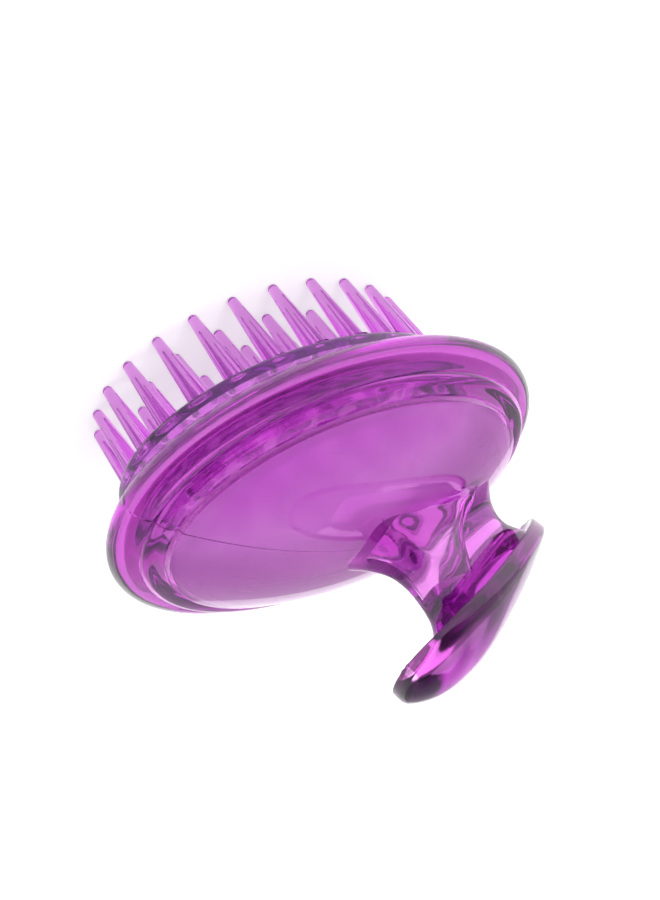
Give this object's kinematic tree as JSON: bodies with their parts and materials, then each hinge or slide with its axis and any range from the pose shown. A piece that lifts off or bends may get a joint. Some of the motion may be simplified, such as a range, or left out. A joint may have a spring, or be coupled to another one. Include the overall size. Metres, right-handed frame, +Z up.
{
  "type": "curry comb",
  "caption": "Hand-held oval massage curry comb of clear plastic, with tapered teeth below and a leaf-shaped finger rest on a cored neck above.",
  "frame": {"origin": "middle of the oval body, on the plane the tooth tips stand on", "axes": "+X along the oval's long axis towards the handle, +Z up from the tooth tips to the handle, +Y across"},
  "size_m": [0.096, 0.069, 0.0744],
  "materials": {
    "shell_plastic": "gloss, see-through",
    "tooth_plastic": "gloss, see-through"
  },
  "bodies": {
    "root": {"shell_handle": "shell_plastic", "tooth_plate": "tooth_plastic"}
  },
  "joints": []
}
